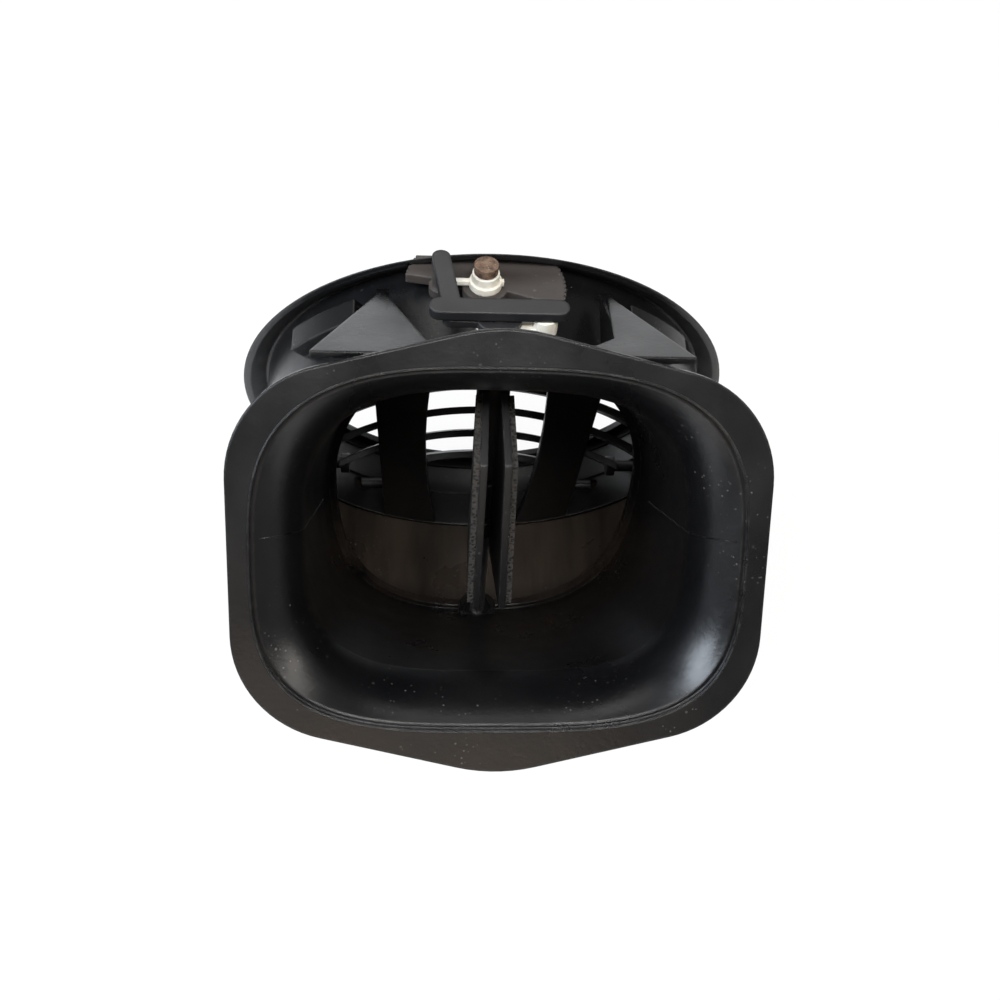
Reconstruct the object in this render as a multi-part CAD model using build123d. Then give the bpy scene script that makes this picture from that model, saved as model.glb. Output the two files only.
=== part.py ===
from build123d import *
import math
import os

# Round dashboard air vent seen from behind: bezel, louvre insert, bent duct with a twin-flap damper.
# Frame, millimetres: the ring's axis is Y and the face looks along -Y, +Z is up towards the
# linkage, and the origin is the centre of the bezel's rear rim.

# Bezel and barrel
bezel_r = 55.0
bezel_depth = 7.0
bezel_lip_r = 43.2
bezel_lip_w = 2.3
bezel_lip_t = 1.6
bezel_wall = 1.5
wall = 1.8
barrel_r = 49.5
barrel_wall = 1.6
barrel_front = -2.0
insert_stop = 0.9
seat_gap = 0.3
running_gap = 0.06
part_gap = 0.4

# Louvre insert
insert_wall = 1.2
insert_front = -3.4
insert_back = 13.0
insert_step_y = 4.0
insert_step = 0.5
strut_in = 10.0
strut_out = 24.0
strut_waist = 3.2
strut_t = 1.8

# Louvres: curved blades, tilted about pins along X
louvre_count = 7
louvre_pitch = 11.8
louvre_pivot_y = 6.1
louvre_tilt = 61.0
louvre_open = 36.0
louvre_close = 10.0
louvre_chord = 12.6
louvre_t = 1.7
louvre_bow_r = 79.0
louvre_bow = 8.0
louvre_pin_r = 1.4
louvre_ear_r = 2.5
louvre_ear_t = 2.0
louvre_side_gap = 2.4
peg_reach = 7.0
peg_angle = 48.0
peg_r = 0.9
fin_t = 1.4
fin_x = -1.8
tie_t = 1.4
tie_w = 3.2

# Damper axis: in the plane of symmetry, leaning forward towards its top
axis_y = 29.7
axis_lean = 12.36
flap_w = 29.6
flap_top = 45.0
flap_shoulder_w = 19.4
flap_shoulder = 41.2
flap_side_low = 7.6
flap_foot = -6.0
flap_t = 1.4
flap_offset = 1.6
foam_t = 1.2
foam_inset = 0.8
flap_inner = 4.6
knuckle_tab = 6.8
opening_inset = 1.6
flap_left_rest = 88.0
flap_right_rest = 92.0
damper_travel = 75.0
spindle_r = 1.8
sleeve_wall = 1.5
spindle_low = -46.5
bush_wall = 1.3
bush_lip = 0.6
boss_wall = 1.4

# Duct, from the damper's wall to the inlet flange
mouth_v = -3.0
mouth_half_w = 34.5
mouth_top = 47.6
mouth_low = 47.0
flange_y = 61.44
flange_z = 51.88
flange_tilt = 51.61
flange_half_w = 46.0
flange_side_h = 29.0
flange_gable = 11.1
flange_corner_r = 19.5
flange_peak_r = 30.0
flange_t = 2.0
gusset_t = 2.4
web_t = 1.2
web_w = 10.5
web_waist = 2.2
gusset_x = 21.6
lip_step = 1.0
lip_half_w = 42.4
lip_half_h = 31.4
throat_depth = 14.0
throat_half_w = 34.4
throat_half_h = 25.8
knee_depth = 6.0
knee_half_w = 36.4
knee_half_h = 27.6

# Linkage, heights measured along the damper axis
crank_r = 8.5
wheel_x = 2.0
wheel_v = -12.9
wheel_r = 15.5
wheel_low = 54.0
wheel_t = 2.0
wheel_rest_angle = -105.0
wheel_half_angle = 95.0
wheel_flat = 8.1
wheel_slot_gap = 0.5
wheel_boss_r = 1.6
knurl_count = 44
knurl_depth = 0.45
hub_r = 2.6
hub_h = 3.2
hub_bar_x = 6.2
hub_bar_low_x = 3.5
hub_bar_w = 1.0
axle_low = 52.2
axle_head_r = 2.3
axle_head_h = 1.7
hub_foot_r = 4.4
wheel_axle_r = 1.2
link_low = 61.0
link_t = 2.0
link_w = 3.8
link_arm_w = 3.4
link_half_l = 12.6
pin_r = 1.2
boss_r = 1.7
cup_r = 2.3
eye_r = 4.25
rod_w = 3.2
play = 0.3
sleeve_gap = 1.2
crank_t = 1.5

lean = math.radians(axis_lean)
tilt = math.radians(flange_tilt)
UP = Vector(0, -math.sin(lean), math.cos(lean))
BACK = Vector(0, math.cos(lean), math.sin(lean))
barrel_bore = barrel_r - barrel_wall
insert_r = barrel_bore - seat_gap
insert_bore = insert_r - insert_wall
insert_front_bore = insert_bore - insert_step
crank_plane = Plane(origin=(0, axis_y, 0), x_dir=(1, 0, 0), z_dir=UP)
OUT = Vector(0, math.cos(tilt), math.sin(tilt))


def ring_y(r_out, r_in, y0, y1):
    """Ring about the vent's axis, from y0 to y1."""
    plane = Plane(origin=(0, y0, 0), x_dir=(1, 0, 0), z_dir=(0, 1, 0))
    face = Circle(r_out) - Circle(r_in) if r_in > 0 else Circle(r_out)
    return extrude(plane * face, amount=y1 - y0)


def rod_x(r, x0, x1, y, z):
    plane = Plane(origin=(x0, y, z), x_dir=(0, 1, 0), z_dir=(1, 0, 0))
    return extrude(plane * Circle(r), amount=x1 - x0)


def post(r, low, high, x=0.0, v=0.0):
    """Cylinder along the damper axis, at x and at v behind it."""
    return crank_plane * Pos(x, v, low) * extrude(Circle(r), amount=high - low)


def plate(face, low, thick):
    """Flat plate across the damper axis, drawn in x and v."""
    return crank_plane * Pos(0, 0, low) * extrude(face, amount=thick)


def arm(x0, v0, x1, v1, width):
    """Face of a bar with round ends between two points."""
    length = math.hypot(x1 - x0, v1 - v0)
    angle = math.degrees(math.atan2(v1 - v0, x1 - x0))
    middle = Pos((x0 + x1) / 2, (v0 + v1) / 2)
    return middle * Rot(0, 0, angle) * SlotCenterToCenter(length, width)


def oval_points(half_w, top, low, n_top, n_low, count=40):
    """Points of a soft closed outline with its own upper and lower form."""
    points = []
    for k in range(count):
        angle = 2 * math.pi * (k + 0.5) / count
        c = math.cos(angle)
        s = math.sin(angle)
        height = top if s > 0 else low
        power = n_top if s > 0 else n_low
        reach = (abs(c / half_w) ** power + abs(s / height) ** power) ** (-1 / power)
        points.append((reach * c, reach * s))
    return points


def oval_face(plane, points):
    return plane * make_face(Spline(points, periodic=True))


def mouth_plane(v):
    origin = Vector(0, axis_y, 0) + BACK * v
    return Plane(origin=origin, x_dir=(1, 0, 0), z_dir=(-BACK))


def inlet_plane(depth):
    origin = Vector(0, flange_y, flange_z) - OUT * depth
    return Plane(origin=origin, x_dir=(1, 0, 0), z_dir=(-OUT))


def mouth_face(grow):
    points = oval_points(mouth_half_w + grow, mouth_top + grow, mouth_low + grow, 2.4, 2.6)
    return oval_face(mouth_plane(mouth_v), points)


def inlet_face(depth, half_w, half_h):
    return oval_face(inlet_plane(depth), oval_points(half_w, half_h + 1.5, half_h, 3.0, 3.4))


def duct_body(grow):
    """Solid of the bent duct, from the damper's wall to the funnel's foot."""
    foot = inlet_face(throat_depth, throat_half_w + grow, throat_half_h + grow)
    return loft([mouth_face(grow), foot], ruled=True)


def funnel_body(grow, top_depth):
    sections = [
        inlet_face(throat_depth, throat_half_w + grow, throat_half_h + grow),
        inlet_face(knee_depth, knee_half_w + grow, knee_half_h + grow),
        inlet_face(top_depth, lip_half_w - 0.8 + grow, lip_half_h - 0.8 + grow),
    ]
    return loft(sections)


def flange_outline():
    corners = Polyline(
        (flange_half_w, -flange_side_h),
        (flange_half_w, flange_side_h),
        (0, flange_side_h + flange_gable),
        (-flange_half_w, flange_side_h),
        (-flange_half_w, -flange_side_h),
        (0, -flange_side_h - flange_gable),
        close=True,
    )
    face = make_face(corners)
    sides = [p for p in face.vertices() if abs(p.X) > 1]
    face = fillet(sides, flange_corner_r)
    peaks = [p for p in face.vertices() if abs(p.X) < 1]
    return fillet(peaks, flange_peak_r)


def behind(v):
    """Large block behind the slanted plane at v."""
    block = Box(300, 300, 300, align=(Align.CENTER, Align.CENTER, Align.MIN))
    return Plane(origin=mouth_plane(v).origin, x_dir=(1, 0, 0), z_dir=BACK) * block


def flap_half(inset, side):
    """Face of one flap in x and height: a slanted far edge between two nearly level ones."""
    corners = Polyline(
        (flap_inner, flap_foot + inset),
        (flap_w - inset, flap_side_low + inset),
        (flap_shoulder_w - inset, flap_shoulder - inset),
        (flap_inner, flap_top - inset),
        close=True,
    )
    face = make_face(corners)
    return mirror(face, about=Plane.YZ) if side < 0 else face


def turned(angle, shape):
    """Turns a shape about the damper axis, by the right-hand rule about its upward direction."""
    return shape.rotate(Axis((0, axis_y, 0), UP), angle)


def flap_solid(side, v0, v1, inset):
    """Slab of one closed flap between v0 and v1, then turned to its rest place."""
    plane = mouth_plane(v1)
    slab = extrude(plane * flap_half(inset, side), amount=v1 - v0)
    angle = flap_left_rest if side > 0 else flap_right_rest - 180
    return turned(angle, slab)


def bezel_ring():
    """Conical ring with a lip in front of the insert and a seat for the barrel's front edge."""
    shell_in = bezel_r - bezel_wall
    seat_y = insert_front - seat_gap
    lip_y = bezel_lip_t - bezel_depth
    section = Polyline(
        (bezel_r, 0),
        (bezel_lip_r + bezel_lip_w, -bezel_depth),
        (bezel_lip_r, -bezel_depth),
        (bezel_lip_r, lip_y),
        (insert_front_bore, lip_y),
        (insert_front_bore, seat_y),
        (insert_r + seat_gap, seat_y),
        (insert_r + seat_gap, barrel_front),
        (barrel_r + 0.6, barrel_front),
        (shell_in, 0),
        close=True,
    )
    ring = revolve(Plane.XY * make_face(section), axis=Axis.Y)
    return ring - wheel_sweep(wheel_slot_gap)


def wheel_sweep(gap):
    """Room that the thumbwheel needs."""
    return post(wheel_r + gap, wheel_low - gap, wheel_low + wheel_t + gap, wheel_x, wheel_v)


def clip_frame(angle):
    """Open latch frame on the barrel, close behind the bezel's rim: a bar along the rim on two bridges."""
    y0 = 4.6
    y1 = 6.0
    frame = ring_y(bezel_r - bezel_wall - 0.3, barrel_r - 0.2, y0, y1 + 3.6)
    window = ring_y(bezel_r - 2.6, barrel_r + 1.4, y0 + 1.2, y1 + 2.2)
    keep = Pos(0, 7, 0) * Rot(0, -angle, 0) * Pos(bezel_r - 3, 0, 0) * Box(12, 12, 17)
    return (frame - window) & keep


def gusset(x, inner_w):
    """Tower from the barrel's top up to the flange's back, with a web that widens to both sides."""
    side = Polyline((4.0, 48.4), (33.6, 71.6), (35.4, 70.2), (25.0, 52.0), (14.0, 47.0), close=True)
    side_plane = Plane(origin=(x - gusset_t / 2, 0, 0), x_dir=(0, 1, 0), z_dir=(1, 0, 0))
    tower = extrude(side_plane * make_face(side), amount=gusset_t)
    inner = -math.copysign(1, x)
    half_web = Polyline((0, 0), (web_w, 34.2), (0, 34.2), close=True)
    slim_web = Polyline((0, 0), (inner_w, 25.4), (web_w, 34.2), (0, 34.2), close=True)
    outer_face = make_face(half_web)
    inner_face = make_face(slim_web)
    if inner > 0:
        outer_face = mirror(outer_face, about=Plane.YZ)
    else:
        inner_face = mirror(inner_face, about=Plane.YZ)
    web_plane = Plane(origin=(x, 6.0, 49.0), x_dir=(1, 0, 0), z_dir=(0, -0.617, 0.787))
    return tower + extrude(web_plane * (outer_face + inner_face), amount=web_t)


def inlet_ring():
    """Shallow recess round the funnel's mouth, open to the flange's front."""
    points = oval_points(lip_half_w, lip_half_h + 1.5, lip_half_h, 3.0, 3.4)
    return extrude(oval_face(inlet_plane(-1), points), amount=1 + lip_step)


def bush_top():
    return wheel_low - part_gap


def duct_housing():
    shoulder_v = mouth_v - wall
    barrel = ring_y(barrel_r, 0, barrel_front, 70) - behind(mouth_v)
    solid = barrel + duct_body(wall) + funnel_body(wall, flange_t)
    solid += extrude(inlet_plane(0) * flange_outline(), amount=flange_t)
    solid += clip_frame(50) + clip_frame(130)
    roof_boss_r = bush_bore() + bush_wall + boss_wall
    foot_boss_r = spindle_r + running_gap + bush_wall + boss_wall
    boss_top = bush_top() - bush_lip
    foot_boss = post(foot_boss_r, spindle_low - 3.0, spindle_low + 6.0)
    solid += post(roof_boss_r, mouth_top - 4, boss_top)
    solid += foot_boss
    solid += post(hub_foot_r + 0.6, 44.0, wheel_low - part_gap, wheel_x, wheel_v)
    solid += gusset(-gusset_x, web_waist) + gusset(gusset_x, 0.74 * web_w)
    barrel_void = ring_y(barrel_bore - insert_stop, 0, barrel_front - 1, 70) - behind(shoulder_v)
    solid = solid - barrel_void - flap_opening()
    solid = solid - duct_body(0) - funnel_body(0, lip_step) - inlet_ring()
    solid += foot_boss & ring_y(barrel_r, 0, 0, 70)
    solid -= post(spindle_r + running_gap + bush_wall, spindle_low - part_gap, spindle_low + 12)
    solid -= post(bush_bore() + bush_wall, mouth_top - 8, boss_top + 1)
    solid -= post(wheel_axle_r, axle_low, wheel_low + 1, wheel_x, wheel_v)
    solid -= ring_y(barrel_bore, 0, barrel_front - 1, insert_back + part_gap)
    room = post(wheel_r + part_gap, wheel_low - part_gap, wheel_low + wheel_t + 2, wheel_x, wheel_v)
    return solid - room


def bush_bore():
    return spindle_r + sleeve_wall + running_gap


def flap_opening():
    """Opening in the slanted wall that the closed flaps cover."""
    return extrude(mouth_face(-opening_inset), amount=wall + 0.2, both=True)


def louvre_insert():
    ring = ring_y(insert_r, insert_bore, insert_front, insert_back)
    ring += ring_y(insert_r, insert_front_bore, insert_front, insert_step_y)
    for side in (-1, 1):
        inner_edge = ThreePointArc((strut_in, -50), (strut_in + strut_waist, 0), (strut_in, 50))
        rest = Polyline((strut_in, 50), (strut_out, 50), (strut_out, -50), (strut_in, -50))
        face = make_face([inner_edge, *rest.edges()])
        face = mirror(face, about=Plane.YZ) if side < 0 else face
        plane = Plane(origin=(0, insert_back, 0), x_dir=(1, 0, 0), z_dir=(0, -1, 0))
        strut = extrude(plane * face, amount=strut_t)
        ring += strut & ring_y(insert_r - 0.2, 0, insert_front, insert_back)
    for z in louvre_heights():
        ring -= rod_x(louvre_pin_r + running_gap, -60, 60, louvre_pivot_y, z)
    return ring


def louvre_heights():
    middle = (louvre_count - 1) / 2
    return [(k - middle) * louvre_pitch for k in range(louvre_count)]


def level_x(x):
    """Plane across the louvre's length at x, drawn in y and z."""
    return Plane(origin=(x, 0, 0), x_dir=(0, 1, 0), z_dir=(1, 0, 0))


def louvre(z):
    """Curved blade with end ears, pins and the fin of its tie peg, built level and then tilted."""
    bore = insert_front_bore - louvre_side_gap
    pin_end = math.sqrt(insert_r**2 - (abs(z) + louvre_pin_r) ** 2) - 0.15
    half = math.sqrt(bore**2 - (abs(z) + louvre_ear_r) ** 2) - 0.4
    roll = Pos(0, 0, louvre_bow - louvre_bow_r) * Rot(90, 0, 0)
    blade = roll * Cylinder(louvre_bow_r + louvre_t / 2, louvre_chord)
    blade -= roll * Cylinder(louvre_bow_r - louvre_t / 2, louvre_chord + 2)
    blade &= Box(2 * half, louvre_chord + 1, 60)
    end_rise = louvre_bow - half**2 / (2 * louvre_bow_r)
    ear = Circle(louvre_ear_r)
    ear += Pos(0, end_rise / 2) * Rectangle(2 * louvre_ear_r - 1.2, abs(end_rise) + 0.1)
    for x in (-half, half - louvre_ear_t):
        blade += extrude(level_x(x) * ear, amount=louvre_ear_t)
    for turn in louvre_turns():
        bore_there = Pos(0, 0, -z) * Rot(90, 0, 0) * Cylinder(bore, 120)
        blade &= bore_there.rotate(Axis.X, -turn)
    for x in (-pin_end, half - louvre_ear_t):
        blade += extrude(level_x(x) * Circle(louvre_pin_r), amount=pin_end - half + louvre_ear_t)
    peg_y = peg_reach * math.cos(math.radians(peg_angle))
    peg_z = -peg_reach * math.sin(math.radians(peg_angle))
    root_z = louvre_bow - 0.5
    fin = Polyline(
        (-1.0, root_z),
        (5.0, root_z),
        (peg_y + 1.5, peg_z),
        (peg_y, peg_z - 1.5),
        (peg_y - 1.6, peg_z),
        close=True,
    )
    blade += extrude(level_x(fin_x) * make_face(fin), amount=fin_t)
    peg = level_x(fin_x) * Pos(peg_y, peg_z) * extrude(Circle(peg_r), amount=fin_t + tie_t + 0.9)
    blade += peg
    return Pos(0, louvre_pivot_y, z) * blade.rotate(Axis.X, louvre_tilt)


def louvre_turns():
    """Tilts at which a blade has to clear the insert's bore, over its whole travel."""
    steps = 4
    span = louvre_close + louvre_open
    return [louvre_tilt - louvre_open + span * k / steps for k in range(steps + 1)]


def peg_place():
    """Rest place of a louvre's tie peg from its pivot."""
    angle = math.radians(louvre_tilt - peg_angle)
    return peg_reach * math.cos(angle), peg_reach * math.sin(angle)


def louvre_tie():
    dy, dz = peg_place()
    heights = louvre_heights()
    x0 = fin_x + fin_t + 0.3
    length = heights[-1] - heights[0]
    plane = Plane(origin=(x0, louvre_pivot_y + dy, dz), x_dir=(0, 1, 0), z_dir=(1, 0, 0))
    face = Rot(0, 0, 90) * SlotCenterToCenter(length, tie_w)
    for z in heights:
        face -= Pos(0, z) * Circle(peg_r + running_gap)
    return extrude(plane * face, amount=tie_t - 0.2)


def thumbwheel():
    """Sector wheel with a knurled edge, a foot round its axle and the drive pin."""
    low_angle = wheel_rest_angle - wheel_half_angle
    corners = [(0, 0)]
    high_angle = low_angle + 2 * wheel_half_angle
    for angle, reach in ((low_angle, 2.5), (wheel_rest_angle, 4.0), (high_angle, 2.5)):
        turn = math.radians(angle)
        corners.append((reach * wheel_r * math.cos(turn), reach * wheel_r * math.sin(turn)))
    sector = Circle(wheel_r) & make_face(Polyline(*corners, close=True))
    face = sector + Circle(hub_foot_r) + Pos(crank_r, 0) * Circle(boss_r + 0.6)
    face -= Circle(wheel_axle_r + running_gap)
    face -= Pos(0, -wheel_flat - wheel_r) * Rectangle(3 * wheel_r, 2 * wheel_r)
    for k in range(knurl_count):
        angle = low_angle + (k + 0.5) * 2 * wheel_half_angle / knurl_count
        face -= Rot(0, 0, angle) * Pos(wheel_r + 0.1, 0) * Rectangle(2 * knurl_depth, 0.45)
    pin_x = wheel_x + crank_r
    wheel = plate(Pos(wheel_x, wheel_v) * face, wheel_low, wheel_t)
    wheel += post(wheel_boss_r, wheel_low + wheel_t, link_low - play, pin_x, wheel_v)
    wheel += post(pin_r, wheel_low + wheel_t, link_low + link_t - 0.9, pin_x, wheel_v)
    return wheel


def wheel_hub():
    """White nylon hub on the wheel, with a thin cross bar."""
    low = wheel_low + wheel_t
    hub = post(hub_r + 0.5, low, low + 1.4, wheel_x, wheel_v)
    hub += post(hub_r, low, low + hub_h, wheel_x, wheel_v)
    middle = wheel_x + (hub_bar_x - hub_bar_low_x) / 2
    bar = Pos(middle, wheel_v) * Rectangle(hub_bar_x + hub_bar_low_x, hub_bar_w)
    hub += plate(bar, low + 0.3, 1.0)
    return hub - post(wheel_axle_r + running_gap, low - 1, low + 9, wheel_x, wheel_v)


def wheel_axle():
    """Brown pin pressed into the barrel's top, with a head that holds the hub down."""
    top = wheel_low + wheel_t + hub_h + 0.3
    axle = post(wheel_axle_r, axle_low, top, wheel_x, wheel_v)
    head = post(axle_head_r, top, top + axle_head_h, wheel_x, wheel_v)
    return axle + head


def damper_spindle():
    return post(spindle_r, spindle_low, link_low - 0.5)


def flap(side, knuckles, bore, rest):
    """Slab of one flap with its knuckles round the spindle."""
    face_v = -flap_offset + flap_t / 2
    body = flap_solid(side, face_v - flap_t, face_v, 0)
    for low, high in knuckles:
        body += post(spindle_r + sleeve_wall, low, high)
        top = min(high, flap_shoulder)
        middle = Pos(side * knuckle_tab / 2, (low + top) / 2)
        tab = mouth_plane(face_v) * middle * Rectangle(knuckle_tab, top - low)
        body += turned(rest, extrude(tab, amount=flap_t))
    return body - post(bore, -60, 70)


def flap_left():
    """Left flap: its knuckles turn on the spindle, and the upper one passes out through the roof."""
    knuckles = [(-5.5, 0.0), (16.0, sleeve_top())]
    return flap(1, knuckles, spindle_r + running_gap, flap_left_rest)


def flap_right():
    """Right flap, fixed on the spindle."""
    return flap(-1, [(2.0, 14.0)], spindle_r, flap_right_rest - 180)


def sleeve_top():
    """Upper end of the left flap's sleeve, just above the wheel, where its crank begins."""
    return wheel_low + wheel_t + sleeve_gap


def crank_low():
    return sleeve_top() + crank_t + play


def flap_foam(side):
    front_v = -flap_offset - flap_t / 2
    return flap_solid(side, front_v - foam_t, front_v, foam_inset)


def upper_bush():
    bore = bush_bore()
    bush = post(bore + bush_wall, mouth_top, bush_top())
    bush += post(bore + bush_wall + 0.9, bush_top() - bush_lip, bush_top())
    return bush - post(bore, 30, 70)


def lower_bush():
    bush = post(spindle_r + running_gap + bush_wall, spindle_low - part_gap, spindle_low + 5.2)
    return bush - post(spindle_r + running_gap, spindle_low, spindle_low + 9)


def crank(x, low, width, cup):
    """Crank with an eye at the spindle, an arm and a round boss whose neck reaches into the link bar."""
    face = arm(0, 0, x, 0, width) + Circle(eye_r) + Pos(x, 0) * Circle(cup)
    body = plate(face, low, crank_t)
    body += post(cup, low, link_low - play, x, 0)
    return body + post(pin_r, low, link_low + link_t - 0.9, x, 0)


def damper_crank():
    """Black crank, fixed on the spindle."""
    return crank(crank_r, crank_low(), rod_w, boss_r) - post(spindle_r, 40, 70)


def sleeve_crank():
    """White nylon crank on the left flap's sleeve."""
    return crank(-crank_r, sleeve_top(), rod_w, cup_r) - post(spindle_r + running_gap, 40, 70)


def link_bar():
    """Black bar over both cranks: pivots on the black crank and the wheel, grooved for the white pin."""
    face = SlotOverall(2 * link_half_l, link_w)
    face += arm(crank_r, 0, crank_r + wheel_x, wheel_v, link_arm_w)
    bar = plate(face, link_low, link_t)
    depth = link_t - 0.7
    end = crank_r - 2 * crank_r * math.cos(math.radians(damper_travel))
    bar -= plate(Pos(crank_r, 0) * Circle(pin_r + running_gap), link_low - 0.1, depth)
    bar -= plate(Pos(crank_r + wheel_x, wheel_v) * Circle(pin_r + running_gap), link_low - 0.1, depth)
    bar -= plate(arm(-crank_r, 0, end, 0, 2 * (pin_r + 0.15)), link_low - 0.1, depth)
    return bar


parts = {
    "bezel_ring": bezel_ring,
    "duct_housing": duct_housing,
    "louvre_insert": louvre_insert,
    "louvre_tie": louvre_tie,
    "thumbwheel": thumbwheel,
    "wheel_hub": wheel_hub,
    "wheel_axle": wheel_axle,
    "damper_spindle": damper_spindle,
    "flap_left": flap_left,
    "flap_right": flap_right,
    "flap_foam_left": lambda: flap_foam(1),
    "flap_foam_right": lambda: flap_foam(-1),
    "upper_bush": upper_bush,
    "lower_bush": lower_bush,
    "damper_crank": damper_crank,
    "sleeve_crank": sleeve_crank,
    "link_bar": link_bar,
}

os.makedirs("parts", exist_ok=True)
for number, height in enumerate(louvre_heights(), start=1):
    parts[f"louvre_{number}"] = lambda z=height: louvre(z)
for name, build in parts.items():
    export_step(build(), f"parts/{name}.step")
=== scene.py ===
import math

import bpy
from mathutils import Matrix, Vector
from mathutils.bvhtree import BVHTree
from mathutils.noise import noise


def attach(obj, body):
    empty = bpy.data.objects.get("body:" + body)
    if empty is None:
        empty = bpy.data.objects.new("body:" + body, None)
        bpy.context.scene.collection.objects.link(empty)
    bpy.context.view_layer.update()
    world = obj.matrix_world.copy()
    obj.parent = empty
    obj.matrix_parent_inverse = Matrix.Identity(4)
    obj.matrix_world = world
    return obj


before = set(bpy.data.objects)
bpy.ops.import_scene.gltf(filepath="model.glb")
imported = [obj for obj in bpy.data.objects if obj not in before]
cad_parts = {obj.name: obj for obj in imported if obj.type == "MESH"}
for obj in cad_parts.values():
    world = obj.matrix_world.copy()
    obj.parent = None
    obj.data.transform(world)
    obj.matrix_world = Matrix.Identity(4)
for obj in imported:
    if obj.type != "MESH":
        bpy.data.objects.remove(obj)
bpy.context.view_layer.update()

# Frame facts shared with the CAD, in millimetres
AXIS_Y = 29.7
LEAN = math.radians(12.36)
UP = Vector((0, -math.sin(LEAN), math.cos(LEAN)))
BACK = Vector((0, math.cos(LEAN), math.sin(LEAN)))
TILT = math.radians(51.61)
OUT = Vector((0, math.cos(TILT), math.sin(TILT)))
ALONG = Vector((0, -math.sin(TILT), math.cos(TILT)))
INLET = Vector((0, 61.44, 51.88))
LIP_HALF = (42.4, 32.9, 31.4)
WHEEL = (2.0, -12.9)
AXLE_HEAD = (2.3, 59.5, 61.2)
INSERT_EDGE = (46.55, 12.95)
BORE_R = (48.1, 48.4)
FLOOR_Z = -55.6

# Half width and half height of each fine bead, in millimetres
LIP_BEAD = (0.22, 0.16)
PARTING_BEAD = (0.16, 0.09)
# The bead on the insert's back edge carries a painted highlight
HIGHLIGHT_BEAD = (0.16, 0.12)

# Surroundings: share of plain white on the floor and the world, and in glossy rays
FLOOR_WHITE = 0.93
WORLD_WHITE = 1.0
GLOSSY_SHARE = 0.08
AMBIENT = 0.10

# Camera: angles in degrees, distance and target in millimetres
CAMERA_ANGLES = (188.7956, 65.5092, 8.5775)
CAMERA_DISTANCE = 313.5256
CAMERA_TARGET = (-7.7536, 0.0, -59.0634)
CAMERA_LENS = 39.6
CAMERA_SENSOR = 36


def local(x, v, s):
    """Point given by x, the distance behind the damper axis and the height along it."""
    return Vector((x, AXIS_Y, 0)) + BACK * v + UP * s


def inlet_point(x, h, depth=0.0):
    """Point of the inlet flange's plane, or at a depth inside it."""
    return INLET + Vector((x, 0, 0)) + ALONG * h - OUT * depth


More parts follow.
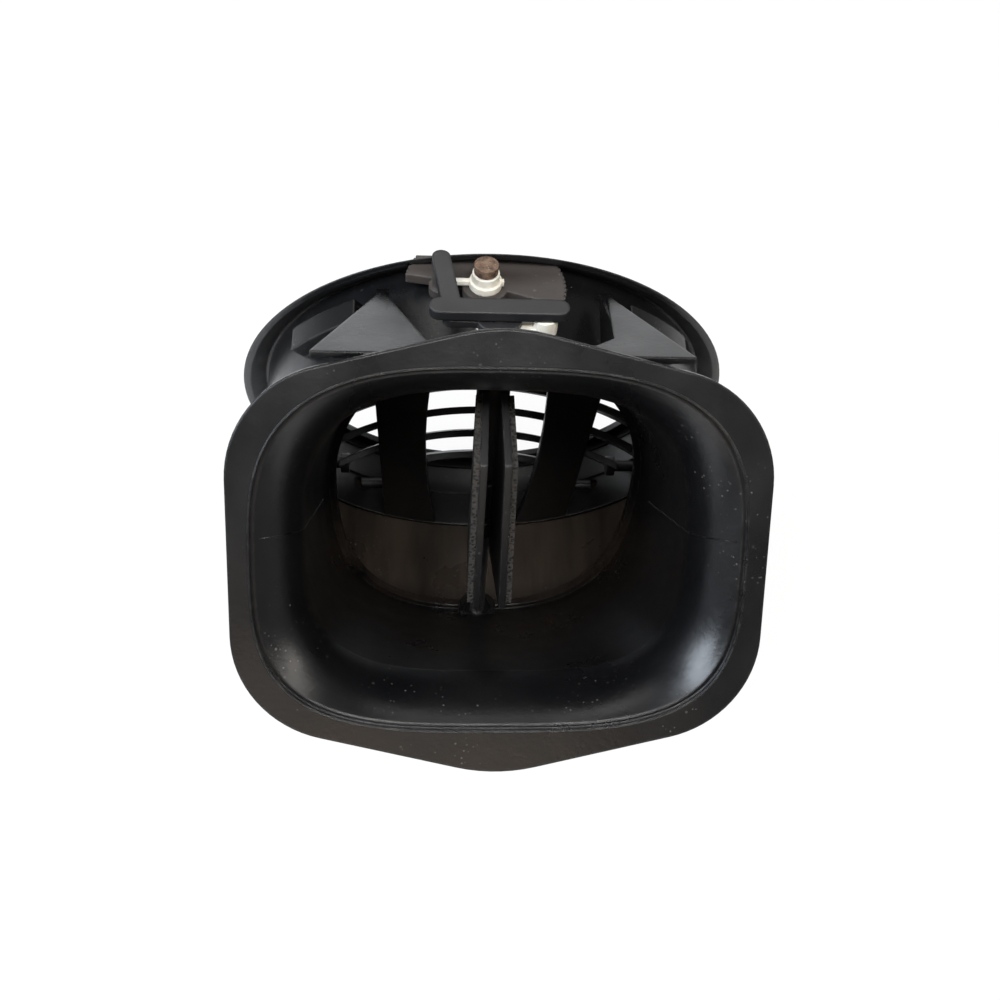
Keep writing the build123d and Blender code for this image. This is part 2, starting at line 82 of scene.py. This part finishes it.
# Materials
class Graph:
    """Small helper that adds nodes to a material and links them."""

    def __init__(self, name):
        self.material = bpy.data.materials.new(name)
        self.material.use_nodes = True
        self.tree = self.material.node_tree
        self.shader = self.tree.nodes["Principled BSDF"]
        self.coords = self.add("ShaderNodeTexCoord").outputs["Object"]

    def add(self, kind, **props):
        node = self.tree.nodes.new(kind)
        for key, value in props.items():
            setattr(node, key, value)
        return node

    def link(self, source, target):
        self.tree.links.new(source, target)

    def noise(self, scale, detail=3.0, rough=0.55, stretch=None):
        node = self.add("ShaderNodeTexNoise")
        node.inputs["Scale"].default_value = scale
        node.inputs["Detail"].default_value = detail
        node.inputs["Roughness"].default_value = rough
        if stretch:
            mapping = self.add("ShaderNodeMapping")
            mapping.inputs["Scale"].default_value = stretch
            self.link(self.coords, mapping.inputs["Vector"])
            self.link(mapping.outputs["Vector"], node.inputs["Vector"])
        else:
            self.link(self.coords, node.inputs["Vector"])
        return node.outputs["Fac"]

    def specks(self, scale, size, seed=0.0):
        """Mask of small round specks: 1 inside a speck."""
        mapping = self.add("ShaderNodeMapping")
        mapping.inputs["Location"].default_value = (seed, seed * 0.7, -seed)
        self.link(self.coords, mapping.inputs["Vector"])
        cell = self.add("ShaderNodeTexVoronoi")
        cell.inputs["Scale"].default_value = scale
        self.link(mapping.outputs["Vector"], cell.inputs["Vector"])
        return self.ramp(cell.outputs["Distance"], size * 0.6, size, flip=True)

    def ramp(self, source, low, high, flip=False):
        node = self.add("ShaderNodeMapRange")
        node.inputs["From Min"].default_value = low
        node.inputs["From Max"].default_value = high
        node.inputs["To Min"].default_value = 1.0 if flip else 0.0
        node.inputs["To Max"].default_value = 0.0 if flip else 1.0
        self.link(source, node.inputs["Value"])
        return node.outputs["Result"]

    def math(self, operation, a, b):
        node = self.add("ShaderNodeMath", operation=operation)
        for k, value in enumerate((a, b)):
            if isinstance(value, (int, float)):
                node.inputs[k].default_value = value
            else:
                self.link(value, node.inputs[k])
        return node.outputs["Value"]

    def mix(self, factor, a, b):
        """Colour a where factor is 0 and b where it is 1."""
        node = self.add("ShaderNodeMix", data_type="RGBA")
        self.link(factor, node.inputs["Factor"])
        for key, value in (("A", a), ("B", b)):
            slot = next(s for s in node.inputs if s.name == key and s.type == "RGBA")
            if isinstance(value, tuple):
                slot.default_value = (*value, 1.0)
            else:
                self.link(value, slot)
        return next(s for s in node.outputs if s.type == "RGBA")

    def edges(self, radius):
        """Rounded normal, and a mask that is 1 on sharp edges."""
        bevel = self.add("ShaderNodeBevel", samples=4)
        bevel.inputs["Radius"].default_value = radius
        geometry = self.add("ShaderNodeNewGeometry")
        dot = self.add("ShaderNodeVectorMath", operation="DOT_PRODUCT")
        self.link(bevel.outputs["Normal"], dot.inputs[0])
        self.link(geometry.outputs["Normal"], dot.inputs[1])
        return bevel.outputs["Normal"], self.ramp(dot.outputs["Value"], 0.995, 0.86)

    def bore_reflection_mask(self):
        """Mask of the barrel's lower inner wall, with upright streaks, where a painted reflection goes.
        """
        split = self.add("ShaderNodeSeparateXYZ")
        self.link(self.coords, split.inputs["Vector"])
        across = self.add("ShaderNodeVectorMath", operation="MULTIPLY")
        across.inputs[1].default_value = (1.0, 0.0, 1.0)
        self.link(self.coords, across.inputs[0])
        reach = self.add("ShaderNodeVectorMath", operation="LENGTH")
        self.link(across.outputs["Vector"], reach.inputs[0])
        inside = self.ramp(reach.outputs["Value"], BORE_R[0] / 1000, BORE_R[1] / 1000, flip=True)
        low = self.ramp(split.outputs["Z"], -0.030, 0.005, flip=True)
        near = self.ramp(split.outputs["Y"], 0.030, 0.038, flip=True)
        streak = self.ramp(self.noise(90.0, 4.0, 0.6, (1.0, 0.16, 1.0)), 0.30, 0.72)
        mask = self.math("MULTIPLY", self.math("MULTIPLY", inside, low), near)
        return self.math("MULTIPLY", mask, streak)

    def bump(self, height, distance, strength=1.0, normal=None):
        node = self.add("ShaderNodeBump")
        node.inputs["Strength"].default_value = strength
        node.inputs["Distance"].default_value = distance
        self.link(height, node.inputs["Height"])
        if normal is not None:
            self.link(normal, node.inputs["Normal"])
        return node.outputs["Normal"]


def black_plastic(
    name,
    tone=(0.0022, 0.0023, 0.0028),
    rough=0.24,
    dust=0.5,
    warm=0.35,
    grain=0.00003,
    bore_reflection=0.0,
):
    """Moulded black plastic: soft gloss, grain, brownish dust film, pale specks, and pale sharp edges
    that are part scuffs and part painted highlight.
    """
    g = Graph(name)
    normal, edge = g.edges(0.0006)
    cloud = g.ramp(g.noise(38.0, 5.0, 0.6), 0.36, 0.72)
    fine = g.noise(900.0, 3.0, 0.65)
    film = tuple(c * 2.0 + o for c, o in zip(tone, (0.0035 * warm, 0.002 * warm, 0.0008 * warm)))
    colour = g.mix(g.math("MULTIPLY", cloud, dust), tone, film)
    # Pale patches on sharp edges: part scuff wear, part painted highlight
    scuff_and_edge_highlight = g.math("MULTIPLY", edge, g.ramp(g.noise(420.0, 4.0, 0.7), 0.44, 0.66))
    colour = g.mix(g.math("MULTIPLY", scuff_and_edge_highlight, 0.28), colour, (0.12, 0.115, 0.11))
    sparse = g.ramp(g.noise(95.0, 2.0), 0.52, 0.66)
    dots = g.math("MULTIPLY", g.specks(820.0, 0.17), sparse)
    dots = g.math("MAXIMUM", dots, g.math("MULTIPLY", g.specks(300.0, 0.10, 3.1), sparse))
    colour = g.mix(g.math("MULTIPLY", dots, 0.55 * dust), colour, (0.30, 0.28, 0.25))
    # Painted reflection: the barrel's lower inner wall is lightened to warm brown in upright streaks.
    if bore_reflection:
        colour = g.mix(g.math("MULTIPLY", g.bore_reflection_mask(), bore_reflection), colour, (0.085, 0.064, 0.048))
    g.link(colour, g.shader.inputs["Base Color"])
    smear = g.ramp(g.noise(60.0, 4.0, 0.6, (1.0, 1.0, 0.35)), 0.3, 0.75)
    g.link(g.math("ADD", g.math("MULTIPLY", smear, 0.16), rough), g.shader.inputs["Roughness"])
    g.shader.inputs["Specular IOR Level"].default_value = 0.5
    bumped = g.bump(fine, grain, 1.0, normal)
    wave = g.noise(46.0, 2.0, 0.5)
    g.link(g.bump(wave, 0.00028, 0.5, bumped), g.shader.inputs["Normal"])
    return g.material


def nylon(name):
    """Natural cream nylon with a little depth and soft gloss."""
    g = Graph(name)
    normal, edge = g.edges(0.0004)
    cloud = g.ramp(g.noise(240.0, 4.0, 0.6), 0.35, 0.7)
    colour = g.mix(cloud, (0.80, 0.77, 0.69), (0.66, 0.61, 0.50))
    dirt = g.math("MULTIPLY", g.specks(900.0, 0.16, 1.3), g.ramp(g.noise(300.0), 0.5, 0.65))
    colour = g.mix(g.math("MULTIPLY", dirt, 0.5), colour, (0.20, 0.16, 0.12))
    g.link(colour, g.shader.inputs["Base Color"])
    g.shader.inputs["Subsurface Weight"].default_value = 0.25
    g.shader.inputs["Subsurface Radius"].default_value = (1.0, 0.8, 0.55)
    g.shader.inputs["Subsurface Scale"].default_value = 0.0012
    g.shader.inputs["Roughness"].default_value = 0.42
    g.link(g.bump(g.noise(700.0), 0.00004, 1.0, normal), g.shader.inputs["Normal"])
    return g.material


def browned_metal(name):
    """Rough browned pin head with darker pits."""
    g = Graph(name)
    patch = g.ramp(g.noise(700.0, 5.0, 0.7), 0.35, 0.65)
    colour = g.mix(patch, (0.055, 0.032, 0.022), (0.21, 0.135, 0.09))
    pale = g.math("MULTIPLY", g.specks(1500.0, 0.2, 2.0), 0.6)
    colour = g.mix(pale, colour, (0.40, 0.31, 0.22))
    g.link(colour, g.shader.inputs["Base Color"])
    g.shader.inputs["Metallic"].default_value = 0.25
    g.link(g.math("ADD", g.math("MULTIPLY", patch, 0.25), 0.5), g.shader.inputs["Roughness"])
    g.link(g.bump(g.noise(1100.0, 4.0, 0.7), 0.00018), g.shader.inputs["Normal"])
    return g.material


def steel(name):
    g = Graph(name)
    streak = g.noise(900.0, 3.0, 0.6, (1.0, 1.0, 0.05))
    colour = g.mix(streak, (0.36, 0.36, 0.37), (0.58, 0.57, 0.56))
    g.link(colour, g.shader.inputs["Base Color"])
    g.shader.inputs["Metallic"].default_value = 1.0
    g.link(g.math("ADD", g.math("MULTIPLY", streak, 0.2), 0.28), g.shader.inputs["Roughness"])
    g.link(g.bump(streak, 0.00002), g.shader.inputs["Normal"])
    return g.material


def foam(name):
    """Dark open-cell foam."""
    g = Graph(name)
    cell = g.add("ShaderNodeTexVoronoi")
    cell.inputs["Scale"].default_value = 1500.0
    g.link(g.coords, cell.inputs["Vector"])
    pores = g.ramp(cell.outputs["Distance"], 0.15, 0.6)
    colour = g.mix(pores, (0.010, 0.010, 0.010), (0.040, 0.038, 0.036))
    colour = g.mix(g.ramp(g.noise(160.0, 4.0), 0.5, 0.75), colour, (0.050, 0.043, 0.038))
    g.link(colour, g.shader.inputs["Base Color"])
    g.shader.inputs["Roughness"].default_value = 0.9
    g.shader.inputs["Specular IOR Level"].default_value = 0.25
    g.link(g.bump(pores, 0.0002), g.shader.inputs["Normal"])
    return g.material


# The housing carries the painted reflection on its barrel's lower inner wall.
housing_black = black_plastic("housing_black", dust=0.4, warm=0.5, bore_reflection=0.7)
bezel_black = black_plastic("bezel_black", (0.0045, 0.0047, 0.0054), 0.34, 0.45, 0.3, 0.00004)
insert_black = black_plastic("insert_black", (0.004, 0.0041, 0.0046), 0.30, 0.35, 0.6)
louvre_black = black_plastic("louvre_black", (0.005, 0.0051, 0.0056), 0.34, 0.5, 0.5)
flap_black = black_plastic("flap_black", (0.006, 0.006, 0.0064), 0.38, 0.6, 0.7)
link_black = black_plastic("link_black", (0.011, 0.011, 0.012), 0.34, 0.8, 0.4)
wheel_brown = black_plastic("wheel_brown", (0.030, 0.025, 0.022), 0.50, 0.9, 0.6)
cream = nylon("nylon_cream")
brown = browned_metal("axle_brown")
bare_steel = steel("spindle_steel")
dark_foam = foam("foam_grey")

node_materials = {
    "duct_housing": housing_black,
    "bezel_ring": bezel_black,
    "louvre_insert": insert_black,
    "louvre_tie": louvre_black,
    "thumbwheel": wheel_brown,
    "wheel_hub": cream,
    "wheel_axle": brown,
    "damper_spindle": bare_steel,
    "flap_left": flap_black,
    "flap_right": flap_black,
    "flap_foam_left": dark_foam,
    "flap_foam_right": dark_foam,
    "upper_bush": housing_black,
    "lower_bush": housing_black,
    "damper_crank": link_black,
    "sleeve_crank": cream,
    "link_bar": link_black,
}
for k in range(1, 8):
    node_materials[f"louvre_{k}"] = louvre_black
for name, material in node_materials.items():
    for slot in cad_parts[name].material_slots:
        slot.material = material


# Detail pieces
def add_mesh(name, verts, faces, material, body, smooth=True):
    """New mesh piece from points in millimetres, riding on a CAD body."""
    mesh = bpy.data.meshes.new(name)
    mesh.from_pydata([tuple(Vector(v) / 1000) for v in verts], [], faces)
    mesh.update()
    if smooth:
        mesh.shade_smooth()
    mesh.materials.append(material)
    piece = bpy.data.objects.new(name, mesh)
    bpy.context.collection.objects.link(piece)
    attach(piece, body)
    return piece


def tube(points, normals, half_w, half_h, closed, sides=8):
    """Verts and faces of a bead along points: half_w across the surface, half_h off it."""
    verts = []
    faces = []
    count = len(points)
    for i, point in enumerate(points):
        after = points[(i + 1) % count] if closed or i < count - 1 else point
        before = points[i - 1] if closed or i > 0 else point
        along = (after - before).normalized()
        off = normals[i].normalized()
        side = along.cross(off).normalized()
        for j in range(sides):
            turn = 2 * math.pi * j / sides
            verts.append(point + side * (half_w * math.cos(turn)) + off * (half_h * math.sin(turn)))
    last = count if closed else count - 1
    for i in range(last):
        a = i * sides
        b = ((i + 1) % count) * sides
        for j in range(sides):
            k = (j + 1) % sides
            faces.append((a + j, a + k, b + k, b + j))
    if not closed:
        faces.append(tuple(range(sides))[::-1])
        faces.append(tuple(range((count - 1) * sides, count * sides)))
    return verts, faces


def oval(half_w, top, low, n_top, n_low, count):
    points = []
    for k in range(count):
        angle = 2 * math.pi * k / count
        c = math.cos(angle)
        s = math.sin(angle)
        height = top if s > 0 else low
        power = n_top if s > 0 else n_low
        reach = (abs(c / half_w) ** power + abs(s / height) ** power) ** (-1 / power)
        points.append((reach * c, reach * s))
    return points


housing_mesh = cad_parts["duct_housing"].data
housing_tree = BVHTree.FromPolygons(
    [v.co * 1000 for v in housing_mesh.vertices], [tuple(p.vertices) for p in housing_mesh.polygons]
)

lip = [inlet_point(x, h, 0.02) for x, h in oval(*LIP_HALF, 3.0, 3.4, 160)]
verts, faces = tube(lip, [OUT] * len(lip), *LIP_BEAD, True)
add_mesh("lip_bead", verts, faces, housing_black, "housing")

# Parting line down each inner side wall
for side, label in ((1, "left"), (-1, "right")):
    points = []
    normals = []
    for k in range(34):
        depth = 1.5 + 45.0 * k / 33
        start = inlet_point(0, 3.5 - 0.1 * depth, depth)
        hit, normal, _, _ = housing_tree.ray_cast(start, Vector((side, 0, 0)))
        if hit is None or abs(hit.x) < 20:
            continue
        normal = normal if normal.x * side < 0 else -normal
        points.append(hit)
        normals.append(normal)
    verts, faces = tube(points, normals, *PARTING_BEAD, False, 6)
    add_mesh(f"parting_line_{label}", verts, faces, housing_black, "housing")

# Painted highlight: a pale bead along the back edge of the insert's ring
ring = []
outward = []
for k in range(180):
    turn = 2 * math.pi * k / 180
    outward.append(Vector((math.cos(turn), 0.6, math.sin(turn))))
    edge_r, edge_y = INSERT_EDGE
    ring.append(Vector((edge_r * math.cos(turn), edge_y, edge_r * math.sin(turn))))
verts, faces = tube(ring, outward, *HIGHLIGHT_BEAD, True, 6)
# Pale grey plastic that paints the highlight onto the bead
highlight_plastic = black_plastic("insert_edge_highlight", (0.10, 0.092, 0.085), 0.4, 0.4, 0.3)
add_mesh("insert_edge", verts, faces, highlight_plastic, "insert")

# Rough burr on the axle's head
radius, low, high = AXLE_HEAD
verts = []
faces = []
rings = 7
around = 22
for i in range(rings + 1):
    t = i / rings
    r = radius * (1.0 if t < 0.55 else math.cos((t - 0.55) / 0.45 * math.pi / 2) ** 0.6)
    s = low + (high - low) * min(1.0, t * 1.08) - 0.05
    for j in range(around):
        turn = 2 * math.pi * j / around
        lump = noise(Vector((math.cos(turn) * 2.2, math.sin(turn) * 2.2, t * 3.0)))
        rr = max(0.05, r * (0.97 + 0.09 * lump)) - 0.02
        verts.append(local(WHEEL[0] + rr * math.cos(turn), WHEEL[1] + rr * math.sin(turn), s))
for i in range(rings):
    for j in range(around):
        k = (j + 1) % around
        faces.append((i * around + j, i * around + k, (i + 1) * around + k, (i + 1) * around + j))
faces.append(tuple(range(rings * around, (rings + 1) * around)))
add_mesh("axle_head_burr", verts, faces, brown, "housing")


# Floor, world, lights and camera
def shown_white(tree, surface, kind, share):
    """Mixes a surface with plain white for camera and transmission rays, and partly for glossy rays."""
    nodes = tree.nodes
    path = nodes.new("ShaderNodeLightPath")
    total = None
    rays = (("Is Camera Ray", share), ("Is Transmission Ray", share), ("Is Glossy Ray", GLOSSY_SHARE))
    for key, part in rays:
        scaled = nodes.new("ShaderNodeMath")
        scaled.operation = "MULTIPLY"
        scaled.inputs[1].default_value = part
        tree.links.new(path.outputs[key], scaled.inputs[0])
        if total is None:
            total = scaled.outputs[0]
            continue
        node = nodes.new("ShaderNodeMath")
        node.operation = "MAXIMUM"
        tree.links.new(total, node.inputs[0])
        tree.links.new(scaled.outputs[0], node.inputs[1])
        total = node.outputs[0]
    glow = nodes.new(kind)
    glow.inputs["Color"].default_value = (1, 1, 1, 1)
    glow.inputs["Strength"].default_value = 1.0
    blend = nodes.new("ShaderNodeMixShader")
    tree.links.new(total, blend.inputs[0])
    tree.links.new(surface, blend.inputs[1])
    tree.links.new(glow.outputs[0], blend.inputs[2])
    return blend.outputs[0]


floor_material = bpy.data.materials.new("floor_white")
floor_material.use_nodes = True
floor_tree = floor_material.node_tree
floor_shader = floor_tree.nodes["Principled BSDF"]
floor_shader.inputs["Base Color"].default_value = (0.86, 0.86, 0.86, 1)
floor_shader.inputs["Roughness"].default_value = 0.9
floor_output = floor_tree.nodes["Material Output"]
floor_surface = shown_white(floor_tree, floor_shader.outputs[0], "ShaderNodeEmission", FLOOR_WHITE)
floor_tree.links.new(floor_surface, floor_output.inputs["Surface"])
floor_mesh = bpy.data.meshes.new("floor")
reach = 4.0
corners = [(-reach, -reach), (reach, -reach), (reach, reach), (-reach, reach)]
floor_mesh.from_pydata([(x, y, FLOOR_Z / 1000) for x, y in corners], [], [(0, 1, 2, 3)])
floor_mesh.materials.append(floor_material)
floor = bpy.data.objects.new("floor", floor_mesh)
bpy.context.collection.objects.link(floor)

world = bpy.data.worlds.new("studio")
bpy.context.scene.world = world
world.use_nodes = True
world_tree = world.node_tree
ambient = world_tree.nodes["Background"]
ambient.inputs["Color"].default_value = (0.96, 0.98, 1.0, 1)
ambient.inputs["Strength"].default_value = AMBIENT
world_surface = shown_white(world_tree, ambient.outputs[0], "ShaderNodeBackground", WORLD_WHITE)
world_tree.links.new(world_surface, world_tree.nodes["World Output"].inputs["Surface"])


def soft_light(name, place, target, size, power, colour):
    data = bpy.data.lights.new(name, "AREA")
    data.shape = "RECTANGLE"
    data.size, data.size_y = size
    data.energy = power
    data.color = colour
    lamp = bpy.data.objects.new(name, data)
    bpy.context.collection.objects.link(lamp)
    lamp.location = place
    lamp.rotation_euler = (Vector(target) - Vector(place)).to_track_quat("-Z", "Y").to_euler()


# Name, place, target, size in metres, power and colour of each lamp
LAMPS = [
    ("key", (0.02, 0.25, 0.76), (0, 0.03, 0.02), (0.5, 0.14), 6.0, (1.0, 0.99, 0.97)),
    ("cool_side", (0.62, 0.16, 0.55), (0, 0.04, 0.03), (0.34, 0.6), 8.0, (0.80, 0.89, 1.0)),
    ("far_side", (-0.60, 0.10, 0.50), (0, 0.04, 0.03), (0.2, 0.5), 2.0, (1.0, 0.94, 0.88)),
    ("warm_back", (0.10, 0.75, 0.22), (0, 0.04, 0.02), (0.5, 0.3), 0.8, (1.0, 0.80, 0.62)),
    ("front_fill", (0.1, -0.5, 0.5), (0, 0.0, 0.05), (0.5, 0.4), 1.2, (1.0, 0.98, 0.95)),
]
for lamp_row in LAMPS:
    soft_light(*lamp_row)

azimuth, elevation, roll = (math.radians(angle) for angle in CAMERA_ANGLES)
toward = Vector(
    (
        math.sin(azimuth) * math.cos(elevation),
        math.cos(azimuth) * math.cos(elevation),
        -math.sin(elevation),
    )
)
right = Vector((math.cos(azimuth), -math.sin(azimuth), 0))
up = right.cross(toward)
image_right = math.cos(roll) * right + math.sin(roll) * up
image_up = math.cos(roll) * up - math.sin(roll) * right
place = (Vector(CAMERA_TARGET) - CAMERA_DISTANCE * toward) / 1000
camera_data = bpy.data.cameras.new("camera")
camera_data.sensor_width = CAMERA_SENSOR
camera_data.lens = CAMERA_LENS
camera_data.clip_start = 0.01
camera = bpy.data.objects.new("camera", camera_data)
bpy.context.collection.objects.link(camera)
rows = [(image_right[k], image_up[k], -toward[k], place[k]) for k in range(3)]
camera.matrix_world = Matrix([*rows, (0, 0, 0, 1)])
bpy.context.scene.camera = camera
bpy.context.scene.view_settings.view_transform = "Standard"
